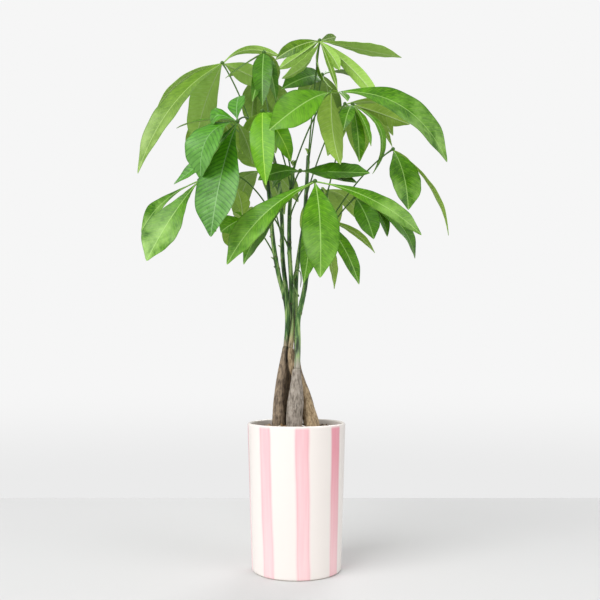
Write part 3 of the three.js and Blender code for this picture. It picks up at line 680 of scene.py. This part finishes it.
# The leaves' tables stand here, as a shoot swells where a leaf grows from it. A leaf has its cane, the height
# where its stalk leaves it, the height of its stalk's bow over a straight line, its hub's place, its kind of
# skin and its leaflets. A leaflet has its tip's place, its width, how far its midrib arches off a straight
# line, and its turn in degrees: 0 lets the upper side face up and out, and a positive turn brings it to the
# front. A seventh number is the share of its length where it is broadest.
LEAVES = {
    # The long arching leaf at the upper left.
    "leaf_upper_left": ("left", 0.528, 0.014, (-0.1, 0.01, 0.678), "olive", [
        (-0.198, 0.07, 0.64, 0.016, 0.012, 0), (-0.203, -0.04, 0.517, 0.043, 0.02, 40, 0.45),
        (-0.13, -0.03, 0.55, 0.048, 0.01, -60, 0.5), (-0.041, 0.06, 0.668, 0.028, 0.004, -30),
        (-0.017, 0.03, 0.692, 0.012, 0.028, -25), (-0.143, 0.125, 0.655, 0.024, 0.01, 0),
    ]),
    # A young leaf at the top, its narrow leaflets still hanging.
    "leaf_young_top": ("crossing", 0.52, 0.006, (-0.042, -0.03, 0.676), "crack_and_shade", [
        (-0.09, -0.048, 0.636, 0.008, 0.001, 10, 0.42), (-0.054, -0.075, 0.597, 0.015, -0.003, 40, 0.42),
        (-0.042, -0.062, 0.596, 0.026, 0.008, 20, 0.42), (-0.026, -0.034, 0.612, 0.016, 0.008, 30, 0.42),
        (-0.025, -0.012, 0.644, 0.018, 0.005, 30, 0.42),
    ]),
    # The big leaf at the left front, with the broad ribbed leaflet.
    "leaf_left_front": ("left", 0.54, 0.026, (-0.072, -0.08, 0.571), "ribbed", [
        (-0.114, -0.1, 0.494, 0.054, 0.025, 20), (-0.155, -0.05, 0.501, 0.024, -0.005, 42),
        (-0.1, -0.12, 0.423, 0.053, 0.009, 20, 0.62), (-0.104, -0.07, 0.56, 0.028, 0.019, 35),
        (-0.155, -0.03, 0.578, 0.012, 0.006, 0), (-0.055, -0.05, 0.527, 0.026, 0.004, 30),
        (-0.072, -0.056, 0.61, 0.025, 0.004, 0, 0.6),
    ]),
    # The bright young leaf beside it.
    "leaf_young_front": ("crossing", 0.506, 0.016, (-0.042, -0.07, 0.587), "young", [
        (-0.036, -0.1, 0.488, 0.032, 0.006, 0, 0.38), (-0.007, -0.048, 0.53, 0.028, 0.01, 50, 0.38),
        (-0.07, -0.024, 0.546, 0.022, 0.008, 0, 0.38),
    ]),
    # The top leaf.
    "leaf_top": ("backRight", 0.548, 0.008, (0.031, 0.0, 0.704), "olive", [
        (-0.028, -0.008, 0.675, 0.018, 0.009, 48), (0.055, 0.045, 0.728, 0.012, 0.0, 60),
        (0.143, 0.022, 0.69, 0.029, 0.0, -8), (0.107, -0.04, 0.605, 0.019, 0.017, -70, 0.5),
        (0.052, -0.052, 0.62, 0.009, 0.002, 20), (-0.019, -0.02, 0.646, 0.03, -0.009, -60),
        (-0.027, 0.04, 0.68, 0.016, 0.006, -40), (0.049, 0.024, 0.648, 0.022, 0.011, -150),
        (0.057, -0.02, 0.657, 0.015, 0.004, -70),
    ]),
    "leaf_top_back": ("backRight", 0.535, 0.01, (0.036, 0.054, 0.679), "crack_and_shade", [
        (-0.02, 0.0, 0.639, 0.035, 0.006, 70, 0.38), (0.005, 0.165, 0.664, 0.034, 0.018, 0),
        (0.054, 0.188, 0.625, 0.036, 0.022, 0), (0.084, 0.15, 0.712, 0.028, 0.006, 0),
    ]),
    # The broad leaf at the upper right.
    "leaf_upper_right": ("crossing", 0.53, 0.012, (0.044, -0.045, 0.619), "fresh", [
        (-0.032, -0.104, 0.553, 0.042, 0.017, 42, 0.65), (0.191, -0.05, 0.529, 0.053, 0.035, 43, 0.6),
        (0.062, -0.1, 0.589, 0.016, 0.005, 0), (0.054, -0.084, 0.517, 0.04, 0.006, 170, 0.42),
    ]),
    # The hanging leaf behind it.
    "leaf_right_hanging": ("middle", 0.49, 0.008, (0.076, 0.018, 0.625), "fresh", [
        (0.083, -0.008, 0.54, 0.019, 0.005, 45), (0.105, 0.036, 0.535, 0.015, 0.032, 65),
        (0.158, 0.048, 0.607, 0.028, 0.003, -50), (0.135, 0.06, 0.579, 0.014, 0.009, 0),
        (0.062, -0.014, 0.58, 0.02, 0.008, 30), (0.099, -0.004, 0.562, 0.011, 0.006, 40),
    ]),
    # The leaf at the far right.
    "leaf_far_right": ("middle", 0.44, 0.014, (0.13, 0.01, 0.562), "fresh", [
        (0.146, -0.022, 0.474, 0.044, 0.01, 45), (0.204, 0.006, 0.445, 0.02, 0.015, 0),
        (0.162, 0.132, 0.512, 0.036, 0.018, 0), (0.166, 0.188, 0.548, 0.026, 0.008, 0),
    ]),
    # The big leaf in front.
    "leaf_front": ("crossing", 0.466, 0.012, (0.023, -0.088, 0.496), "fresh", [
        (0.028, -0.13, 0.374, 0.046, 0.014, 0), (-0.083, -0.1, 0.393, 0.042, 0.018, 22, 0.65),
        (0.153, -0.084, 0.431, 0.03, 0.015, 38, 0.66), (-0.066, -0.06, 0.398, 0.04, 0.016, 20, 0.7),
        (0.009, -0.074, 0.373, 0.024, 0.008, 20),
    ]),
    "leaf_front_upper": ("crossing", 0.49, 0.006, (0.005, -0.05, 0.518), "crack_and_shade", [
        (0.092, -0.062, 0.512, 0.036, 0.0, 30), (-0.047, -0.076, 0.5, 0.028, 0.006, 35),
        (-0.032, -0.02, 0.5, 0.024, 0.008, 30), (0.076, -0.062, 0.5, 0.024, 0.003, 25),
    ]),
    # Two leaves low at the right.
    "leaf_right_low": ("middle", 0.418, 0.006, (0.077, -0.02, 0.491), "crack_and_shade", [
        (0.098, -0.052, 0.431, 0.031, 0.008, 45), (0.12, -0.01, 0.441, 0.024, 0.012, 45, 0.7),
        (0.161, 0.02, 0.416, 0.036, 0.02, 50, 0.6), (0.112, 0.13, 0.468, 0.028, 0.018, 0),
        (0.129, 0.11, 0.482, 0.022, 0.01, 0),
    ]),
    "leaf_right_lowest": ("middle", 0.398, 0.004, (0.033, -0.044, 0.457), "fresh", [
        (0.102, -0.026, 0.417, 0.013, 0.011, -40), (0.078, -0.07, 0.372, 0.022, 0.012, 32),
        (0.048, -0.05, 0.368, 0.026, 0.003, -60), (0.018, -0.02, 0.404, 0.022, 0.008, 0),
    ]),
    # The leaf low at the left, on its long arching petiole.
    "leaf_left_low": ("crossing", 0.426, 0.046, (-0.127, -0.02, 0.513), "fresh", [
        (-0.19, -0.048, 0.404, 0.05, 0.006, 50, 0.66), (-0.212, 0.024, 0.452, 0.03, 0.012, 55, 0.72),
        (-0.108, 0.006, 0.45, 0.026, 0.006, 0), (-0.118, 0.09, 0.49, 0.022, 0.006, 0),
        (-0.196, 0.1, 0.462, 0.024, 0.004, 0),
    ]),
    "leaf_left_inner": ("left", 0.414, 0.01, (-0.073, 0.024, 0.471), "fresh", [
        (-0.102, 0.01, 0.45, 0.036, 0.003, 70), (-0.08, -0.01, 0.505, 0.028, 0.004, -60),
        (-0.088, 0.06, 0.432, 0.034, 0.014, 0), (-0.07, 0.125, 0.48, 0.03, 0.016, 0),
    ]),
    # Leaves at the back of the crown.
    "leaf_back_left": ("backLeft", 0.505, 0.014, (-0.119, 0.09, 0.64), "fresh", [
        (-0.157, 0.165, 0.574, 0.038, 0.024, 0), (-0.116, 0.19, 0.522, 0.042, 0.028, 0),
        (-0.084, 0.175, 0.586, 0.038, 0.022, 0), (-0.128, 0.044, 0.585, 0.026, 0.01, 0),
    ]),
    "leaf_back_right": ("backRight", 0.5, 0.014, (0.07, 0.09, 0.65), "fresh", [
        (0.196, 0.13, 0.617, 0.034, 0.024, 0), (0.15, 0.172, 0.628, 0.036, 0.02, 0),
        (0.1, 0.198, 0.594, 0.04, 0.024, 0), (0.048, 0.172, 0.596, 0.034, 0.02, 0),
    ]),
    "leaf_back_centre": ("backLeft", 0.44, 0.01, (-0.05, 0.08, 0.551), "crack_and_shade", [
        (-0.092, 0.17, 0.486, 0.034, 0.03, 0), (-0.02, 0.2, 0.51, 0.03, 0.02, 0),
        (-0.112, 0.13, 0.502, 0.03, 0.018, 0), (0.002, 0.172, 0.524, 0.034, 0.018, 0),
        (-0.078, 0.06, 0.582, 0.03, 0.006, -30),
    ]),
    "leaf_back_low": ("backRight", 0.44, 0.01, (0.036, 0.07, 0.52), "fresh", [
        (0.034, 0.152, 0.43, 0.04, 0.022, 0), (0.056, 0.198, 0.474, 0.038, 0.024, 0),
        (0.104, 0.152, 0.48, 0.034, 0.02, 0), (0.012, 0.124, 0.458, 0.032, 0.014, 0),
    ]),
    "leaf_back_top": ("backLeft", 0.55, 0.008, (-0.05, 0.096, 0.69), "crack_and_shade", [
        (-0.072, 0.182, 0.64, 0.036, 0.022, 0), (-0.034, 0.194, 0.606, 0.038, 0.024, 0),
        (-0.014, 0.152, 0.64, 0.034, 0.018, 0), (-0.105, 0.15, 0.712, 0.02, 0.008, 0),
    ]),
}

for seed, (name, cane) in enumerate(CANES.items()):
    (pale, dark), (low, high) = CANE_COLOURS[name]
    top = cane["bark_top"]
    trunk = add_piece(f"{name}_trunk", [trunk_skin(name, seed)], [bark(f"{name}_bark", pale, dark, low, top)])
    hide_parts(f"trunk_{name}")
    leaf_nodes = [height for cane_name, height, *_ in LEAVES.values() if cane_name == name]
    old_nodes = list(top + np.cumsum(np.random.default_rng(40 + seed).uniform(0.012, 0.04, 5)))
    stem = add_piece(f"{name}_stem", [stem_skin(name, leaf_nodes + old_nodes)],
                     [green_stem(f"{name}_green", low, high, pale, top)])
    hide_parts(f"stem_{name}")


# What the shoots have kept of older leaves: stubs of stalks that dried and broke off, standing out from the
# nodes, and a thin young shoot that has curled round on itself between the canes.
# A stub has its cane, its height, the way it faces in degrees from +X, and its length.
STUBS = [
    ("left", 0.41, 200, 0.007), ("left", 0.398, 215, 0.006), ("left", 0.372, 340, 0.004),
    ("left", 0.44, 150, 0.005), ("backLeft", 0.384, 250, 0.004), ("backLeft", 0.43, 190, 0.005),
    ("crossing", 0.405, 300, 0.005), ("crossing", 0.35, 250, 0.003), ("backRight", 0.42, 320, 0.006),
    ("middle", 0.36, 330, 0.004), ("middle", 0.395, 20, 0.006), ("backRight", 0.47, 60, 0.006),
    ("backLeft", 0.48, 140, 0.006),
]
STUB_RADIUS = 0.0013
STUB_INSIDE = 0.002
STUB_AROUND = 10
CURL = [
    (0.003, -0.0105, 0.362), (-0.0015, -0.0155, 0.371), (-0.0035, -0.0175, 0.386),
    (-0.0005, -0.0185, 0.3955), (0.0045, -0.0185, 0.394), (0.0062, -0.0175, 0.384),
    (0.0052, -0.0165, 0.373),
]
CURL_RADIUS = 0.0011
STUB_GREENS = ("48682e", "547a38")
STUB_BOTTOM = 0.3
stub_parts = []
for name, height, facing, length in STUBS:
    start = points_along(cane_lines[name], share_at_height(cane_lines[name], height))
    aim = np.array([math.cos(math.radians(facing)), math.sin(math.radians(facing)), 0.7])
    share = np.linspace(0, 1, 9)[:, None]
    stub_line = start + unit(aim) * share * (length + STUB_INSIDE)
    radii = STUB_RADIUS * (1 - 0.45 * share) * np.sqrt(1 - share ** 6 * 0.97)
    stub_parts.append(round_skin(stub_line, radii, np.array([0.1, 0.2, 1.0]), STUB_AROUND,
                                 values={"node": np.repeat(share, STUB_AROUND)}))
curl_line = smooth_line(CURL)[::4]
curl_share = np.linspace(0, 1, len(curl_line))
curl_radii = CURL_RADIUS * (1 - 0.4 * curl_share) * np.sqrt(1 - curl_share ** 20 * 0.97)
stub_parts.append(round_skin(curl_line, curl_radii, np.array([0.0, 1.0, 0.1]), STUB_AROUND,
                             values={"node": 0.2}))
stubs = add_piece("old_leaf_stubs", stub_parts, [
    green_stem("stub_green", *STUB_GREENS, STEM_SCAR, STUB_BOTTOM)])


# The top dressing: chips of composted bark and a few white grains of perlite, left lying on the soil round
# the trunks.
CHIP_COUNT = 300
CHIP_SIZES = (0.0022, 0.0055)
CHIP_TAN = "a3845f"
CHIP_BROWN = "5a4230"
GRAIN_WHITE = "e6e2da"


def scattered_chips():
    """Flat broken chips: six-sided prisms with jittered corners, each turned and tilted at random.

    A chip's rings are a small one, two full ones and a small one, so its edges are rounded.
    """
    draw = np.random.default_rng(11)
    count = CHIP_COUNT
    reach = np.sqrt(draw.uniform(0.0, 0.86, count)) * inside_radius(SOIL_EDGE)
    heading = draw.uniform(0, 2 * np.pi, count)
    x, y = reach * np.cos(heading), reach * np.sin(heading)
    size = draw.uniform(*CHIP_SIZES, count)
    corner = np.arange(6) * np.pi / 3
    ring_r = np.array([0.55, 1.0, 0.95, 0.5])[None, :, None]
    ring_z = np.array([-0.5, -0.2, 0.25, 0.5])[None, :, None] * draw.uniform(0.3, 0.55, (count, 1, 1))
    jitter = draw.uniform(0.7, 1.25, (count, 1, 6))
    stretch = draw.uniform(1.0, 2.1, (count, 1, 1))
    local = np.stack(np.broadcast_arrays(ring_r * jitter * np.cos(corner) * stretch,
                                         ring_r * jitter * np.sin(corner), ring_z), axis=-1)
    local = local * (size / 2)[:, None, None, None]
    yaw, pitch = draw.uniform(0, 2 * np.pi, count), draw.normal(0, 0.35, count)
    cy, sy, cp, sp = np.cos(yaw), np.sin(yaw), np.cos(pitch), np.sin(pitch)
    turning = np.stack([np.stack([cy * cp, -sy, cy * sp], -1), np.stack([sy * cp, cy, sy * sp], -1),
                        np.stack([-sp, np.zeros(count), cp], -1)], -2)
    centre = np.stack([x, y, soil_height(x, y) + 0.15 * size], -1)
    rings = np.einsum("nij,nrkj->nrki", turning, local) + centre[:, None, None, :]
    tint = draw.uniform(0, 1, count)
    return [sleeve(rings[i], values={"tint": tint[i]}) for i in range(count)]


# Bark chips and perlite: rough and dry, with 1 mm fibres. Each has its own tint, from brown through tan, and
# the last tenth are white.
chip_skin, tree, shader = new_material("bark_chips", Roughness=0.9)
place = add_node(tree, "TexCoord").outputs["Object"]
tint = add_node(tree, "Attribute", attribute_name="tint").outputs["Fac"]
fibre = add_node(tree, "TexNoise", {"Vector": place, "Scale": 900, "Detail": 3})
worn = add_node(tree, "Math", {0: fibre, 1: 0.5, 2: tint}, operation="MULTIPLY_ADD")
tan_share = add_node(tree, "MapRange", {"Value": worn, "From": (0.3, 1.2)})
white_share = add_node(tree, "MapRange", {"Value": tint, "From": (0.9, 0.905)})
dress(tree, shader, CHIP_BROWN, (tan_share, CHIP_TAN), (white_share, GRAIN_WHITE))
chips = add_piece("bark_chips", scattered_chips(), [chip_skin], crease_deg=30)


# The leaves: each grew as one piece, a slim stalk that thickens at both ends, a small hub and five or so
# leaflets spread from it like fingers. The blades are thin and leathery, glossy above and dull below, folded
# up a little along the rib, puffed between the side veins and waved at their edges.
HUB_RADIUS = 0.0032
HUB_THICK = 0.0027
STALK_RADIUS = 0.001
STALK_SWELL = 0.0009
STALK_AROUND = 14
STALK_GREENS = ("2c4d14", "56802e")
BLADE_THICKNESS = 0.0004
BLADE_FOLD = 0.16
BLADE_WAVE = 0.035
BLADE_WAVES = 1.5
BLADE_BROADEST = 0.57
BLADE_OUTWARD = 0.5
TIP_FULLNESS = 0.65
DRIP_START = 0.8
DRIP_TIP = 0.4
STATION_GAP = 0.0016
HALF_CELLS = 10
RIB_ROUND = 0.0011
RIB_END = 0.0003
NECK_HALF = 0.0009
TIP_HALF = 0.0002
VEIN_GAP = 0.0062
VEIN_SLANT = 0.55
RUFFLE = 0.012
# The faint painted sheen, a pale highlight, that a leaflet carries unless listed otherwise.
PAINTED_SHEEN = 0.25
UPPER, LOWER, STALK = range(3)


def arched(start, bend, end, share):
    """Points at shares of an even arch from start to end that leans towards bend."""
    return (1 - share) ** 2 * start + 2 * share * (1 - share) * bend + share ** 2 * end


def blade(hub, leaflet, draw, puff=0.0003, fold=BLADE_FOLD, bloom=PAINTED_SHEEN):
    """A leaflet's skin, a thin blade along an arched midrib.

    The midrib runs from the hub's edge to the tip on one even arch. The half width follows a sine whose top
    is moved to the broadest share of the length, and draws in to a short point. Across the blade, s runs from
    -1 to 1: the halves fold up with s, the edges wave with the square of s, the blade puffs up between side
    veins that lean to the tip, and the rib is a groove above and a round ridge below. The value off_rib is in
    millimetres.
    """
    *tip, width, arch, turn, broadest = (*leaflet, BLADE_BROADEST)[:7]
    tip = np.array(tip)
    along = unit(tip - hub)
    base = hub + along * HUB_RADIUS / 2
    middle = (base + tip) / 2
    up = np.array([0, 0, 1]) + BLADE_OUTWARD * unit(middle * (1, 1, 0))
    up = unit(up - (up @ along) * along)
    front = np.cross(along, up)
    front = -front if front[1] > 0 else front
    angle = math.radians(turn)
    facing = up * math.cos(angle) + front * math.sin(angle)
    bend = middle + 2 * arch * facing

    length = np.linalg.norm(tip - base)
    t = np.linspace(0, 1, int(np.clip(length / STATION_GAP, 18, 96)))[:, None]
    rib_line = arched(base, bend, tip, t)
    tangent = unit((1 - t) * (bend - base) + t * (tip - bend))
    across = unit(np.cross(tangent, facing))
    normal = np.cross(across, tangent)

    cell = np.linspace(-1, 1, 2 * HALF_CELLS + 1)[None, :]
    s = np.sign(cell) * np.abs(cell) ** 1.35
    share = np.sin(np.pi * t ** (math.log(0.5) / math.log(broadest))).clip(0)
    share = share ** np.where(t < broadest, 1, TIP_FULLNESS)
    drip = np.clip((t - DRIP_START) / (1 - DRIP_START), 0, 1)
    share = share * (1 - DRIP_TIP * drip ** 2 * (3 - 2 * drip))
    least = NECK_HALF + (TIP_HALF - NECK_HALF) * t
    half = np.maximum(least, 0.5 * width * share)
    off_rib = np.abs(s) * half
    ripples, phase, slip = draw.integers(4, 7), *draw.uniform(0, 2 * np.pi, 2)
    wave = BLADE_WAVE * width * s ** 2 * np.sin(2 * np.pi * BLADE_WAVES * t + s) * share
    ruffle = RUFFLE * width * np.abs(s) ** 3 * np.sin(2 * np.pi * ripples * t + phase + slip * s) * share
    veins = (t * length - VEIN_SLANT * off_rib * (1 + 0.35 * np.abs(s))) / VEIN_GAP + 0.25 * np.sign(s)
    swell = np.abs(np.sin(np.pi * veins)) ** 0.8 - 0.6
    puffed = puff * swell * np.clip(off_rib / 0.003, 0, 1) * (1 - s ** 4) * np.sqrt(share)
    lift = fold * half * np.abs(s) ** 1.2 + wave + ruffle + puffed
    ridge = RIB_END + (RIB_ROUND - RIB_END) * (1 - t)
    over_rib = np.exp(-(off_rib / ridge) ** 2)
    above = lift + BLADE_THICKNESS / 2 - 0.25 * ridge * over_rib * np.clip(half / 0.004, 0, 1)
    below = lift - BLADE_THICKNESS / 2 - ridge * over_rib

    def face(height):
        sideways = across[:, None] * (s * half)[..., None]
        return rib_line[:, None] + sideways + normal[:, None] * height[..., None]

    rings = np.concatenate([face(above), face(below)[:, ::-1]], axis=1)
    rows, around = rings.shape[:2]
    column_paint = np.where(np.arange(around) < 2 * HALF_CELLS, UPPER, LOWER)
    paint = np.concatenate([np.tile(column_paint, rows - 1), [LOWER, LOWER]])

    def for_ring(values):
        values = np.broadcast_to(values, (rows, 2 * HALF_CELLS + 1))
        return np.concatenate([values, values[:, ::-1]], axis=1).ravel()

    values = {"veins": for_ring(veins), "off_rib": for_ring(off_rib * 1000), "edge": for_ring(np.abs(s)),
              "along": for_ring(t), "tone": draw.uniform(0, 1), "bloom": bloom}
    return sleeve(rings, paint=paint, values=values)


def stalk(start, hub, bow, draw):
    """A leaf's stalk on one bow from its cane to the hub, thicker at both ends, and the round hub."""
    share = np.linspace(0, 1, 48)[:, None]
    bend = (start + hub) / 2 + np.array([0, 0, 2 * bow])
    line = arched(start, bend, hub, share)
    length = lengths_along(line)
    swell = np.exp(-(length / 0.008) ** 2) + 0.7 * np.exp(-((length[-1] - length) / 0.006) ** 2)
    side = unit(np.cross(hub - start, (0, 0, 1)))
    tone = draw.uniform(0, 1)
    bar = round_skin(line, STALK_RADIUS + STALK_SWELL * swell, side, STALK_AROUND, paint=STALK,
                     values={"tone": tone})
    reach = np.cos(np.linspace(np.pi, 0, 12)) * 0.98
    knob_line = hub + unit(line[-1] - line[-2]) * reach[:, None] * HUB_THICK
    knob = round_skin(knob_line, HUB_THICK * np.sqrt(1 - reach ** 2), side, STALK_AROUND, paint=STALK,
                      values={"tone": tone})
    return [bar, knob]


def blade_skin(name, colours, vein_share, sheen_share, roughness):
    """A leaf's skin under its wax: mottled over 2 or 3 cm, with faint streaks along the side veins.

    The streaks make the lines on the veins come and go. A pale sheen is painted in patches towards the tip, a
    painted highlight, and the pale line along the rib takes the same colour. The skin darkens at the very
    edge. The vein lines are drawn about twice as wide as real ones, so that they show.
    """
    dark, light, line, bloom = colours
    material, tree, shader = new_material(name, Roughness=roughness, Specular_IOR_Level=0.25)
    place = add_node(tree, "TexCoord").outputs["Object"]
    tone, veins, off_rib, along, edge, sheen_strength = (
        add_node(tree, "Attribute", attribute_name=value).outputs["Fac"]
        for value in ("tone", "veins", "off_rib", "along", "edge", "bloom"))
    mottle = add_node(tree, "TexNoise", {"Vector": place, "Scale": 45, "Detail": 4, "Roughness": 0.55})
    grid = add_node(tree, "CombineXYZ", {"X": veins, "Y": off_rib, "Z": tone})
    drawn_out = add_node(tree, "Mapping", {"Vector": grid, "Scale": (1, 0.07, 30)})
    streaks = add_node(tree, "TexNoise", {"Vector": drawn_out, "Scale": 2.3, "Detail": 3})
    off_vein = add_node(tree, "Math", {0: veins, 1: 0.5}, operation="PINGPONG")

    mixed = add_node(tree, "Math", {0: tone, 1: 0.3, 2: mottle}, operation="MULTIPLY_ADD")
    streaked = add_node(tree, "Math", {0: streaks, 1: 0.9, 2: mixed}, operation="MULTIPLY_ADD")
    puffed = add_node(tree, "Math", {0: off_vein, 1: 0.3, 2: streaked}, operation="MULTIPLY_ADD")
    light_share = add_node(tree, "MapRange", {"Value": puffed, "From": (0.8, 1.5)})

    # Painted sheen: a pale highlight painted in patches towards the tip, in the strength each leaflet
    # carries.
    tipward = add_node(tree, "MapRange", {"Value": along, "From": (0.3, 0.85)},
                       interpolation_type="SMOOTHSTEP")
    sheen_patch = add_node(tree, "MapRange", {"Value": mixed, "From": (0.45, 0.85), "To": (0.0, sheen_share)})
    sheen_at_tip = add_node(tree, "Math", {0: tipward, 1: sheen_strength}, operation="MULTIPLY")
    sheen_cover = add_node(tree, "Math", {0: sheen_at_tip, 1: sheen_patch}, operation="MULTIPLY")

    on_vein = add_node(tree, "MapRange", {"Value": off_vein, "From": (0.02, 0.12), "To": (vein_share, 0.0)},
                       interpolation_type="SMOOTHSTEP")
    broken = add_node(tree, "MapRange", {"Value": streaks, "From": (0.35, 0.6)})
    vein_cover = add_node(tree, "Math", {0: on_vein, 1: broken}, operation="MULTIPLY")
    on_rib = add_node(tree, "MapRange", {"Value": off_rib, "From": (0.3, 0.9), "To": (0.7, 0.0)},
                      interpolation_type="SMOOTHSTEP")
    at_edge = add_node(tree, "MapRange", {"Value": edge, "From": (0.9, 1.0), "To": (0.0, 0.6)})
    # The net of the finest veins has 2.4 mm cells, about twice as wide as real ones, so that it shows.
    net = add_node(tree, "TexVoronoi", {"Vector": place, "Scale": 420}, feature="DISTANCE_TO_EDGE")
    dress(tree, shader, dark, (light_share, light), (sheen_cover, bloom), (vein_cover, line), (on_rib, bloom),
          (at_edge, dark), relief=(0.2, 0.0003, net))
    return material


def stalk_skin(name, dark, light):
    """A leaf stalk's skin: smooth and green, in slow clouds of two shades."""
    material, tree, shader = new_material(name, Roughness=0.45, Specular_IOR_Level=0.35)
    place = add_node(tree, "TexCoord").outputs["Object"]
    cloud = add_node(tree, "TexNoise", {"Vector": place, "Scale": 60, "Detail": 2})
    dress(tree, shader, dark, (cloud, light))
    return material


# How strong the painted sheen, a highlight painted into the colour, is on the leaflets that face up to the
# light, each given by its leaf and its number there. The others keep the faint default.
SHEEN_BY_LEAFLET = {
    ("leaf_left_front", 2): 1, ("leaf_front", 0): 0.7, ("leaf_front", 1): 0.7, ("leaf_front", 2): 1.4,
    ("leaf_upper_right", 1): 1.8, ("leaf_upper_left", 1): 1, ("leaf_left_low", 0): 2.2,
    ("leaf_left_low", 1): 2.4, ("leaf_far_right", 0): 1.3, ("leaf_left_front", 0): 0.6,
}

# Each kind of leaf skin: its dark green, light green, veins and painted sheen above and below, how strongly
# the veins and the painted sheen show above, how far the blade puffs up between its veins, and its slot.
# The lower sides are their own paler green, painted lighter still as a glow for light shining through the
# blade.
SKINS = {
    "fresh": {"above": ("2f6000", "5c9a00", "92c43a", "a4cc70"), "veins": 0.4, "bloom": 0.5, "puff": 0.0004,
              "below": ("7ba034", "96ba48", "b4cc84", "b0c68a"), "slot": "leaf"},
    "olive": {"above": ("365e06", "669012", "98c046", "acc878"), "veins": 0.35, "bloom": 0.5, "puff": 0.0004,
              "below": ("8cb648", "a2cc5e", "bcd48a", "b6cc8e"), "slot": "leaf"},
    "crack_and_shade": {"above": ("234c00", "468002", "7cac38", "90bc62"), "veins": 0.35, "bloom": 0.3, "puff": 0.00035,
             "below": ("6a8e30", "84a844", "a8c07c", "a4bc80"), "slot": "leaf"},
    "ribbed": {"above": ("2a6004", "549c18", "1b4e14", "84b070"), "veins": 0.9, "bloom": 0.7, "puff": 0.0009,
               "below": ("6f9436", "88ac48", "a8c07c", "a4bc80"), "slot": "leaf"},
    "young": {"above": ("468600", "6aaa00", "a4d82c", "acd850"), "veins": 0.35, "bloom": 0.3, "puff": 0.0004,
              "below": ("7aaa20", "94c034", "bcdc60", "b8d468"), "slot": "young_leaf"},
}
stalk_green = stalk_skin("stalk_green", *STALK_GREENS)
skins = {
    name: [blade_skin(f"{name}_upper_side", kind["above"], kind["veins"], kind["bloom"], 0.36),
           blade_skin(f"{name}_lower_side", kind["below"], 0.3, 0.3, 0.6), stalk_green]
    for name, kind in SKINS.items()
}

for number, (name, (cane, height, bow, hub, skin, leaflets)) in enumerate(LEAVES.items()):
    draw = np.random.default_rng(100 + number)
    hub, kind, line = np.array(hub), SKINS[skin], cane_lines[cane]
    start = points_along(line, share_at_height(line, height))
    parts = stalk(start, hub, bow, draw)
    for order, leaflet in enumerate(leaflets):
        parts.append(blade(hub, leaflet, draw, kind["puff"], bloom=SHEEN_BY_LEAFLET.get((name, order), PAINTED_SHEEN)))
    piece = add_piece(name.removeprefix("leaf_") + "_leaf", parts, skins[skin], crease_deg=60)
    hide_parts(name)


# The growing tips: at the end of each cane three new leaflets, still folded along their ribs, stand up from
# the last node, no longer than a fingernail. Each has this width, arch and turn.
NEW_LEAFLET = (0.0035, 0.001, 0)
NEW_FOLD = 0.9
tip_parts = []
for number, (name, line) in enumerate(cane_lines.items()):
    draw = np.random.default_rng(300 + number)
    top = line[-1]
    for turn in draw.uniform(0, 2 * np.pi, 3):
        lean = draw.uniform(0.3, 0.8)
        reach = draw.uniform(0.008, 0.014)
        aim = top + reach * unit(np.array([lean * math.cos(turn), lean * math.sin(turn), 1.0]))
        tip_parts.append(blade(top, (*aim, *NEW_LEAFLET), draw, fold=NEW_FOLD))
growing_tips = add_piece("growing_tips", tip_parts, skins["fresh"], crease_deg=60)
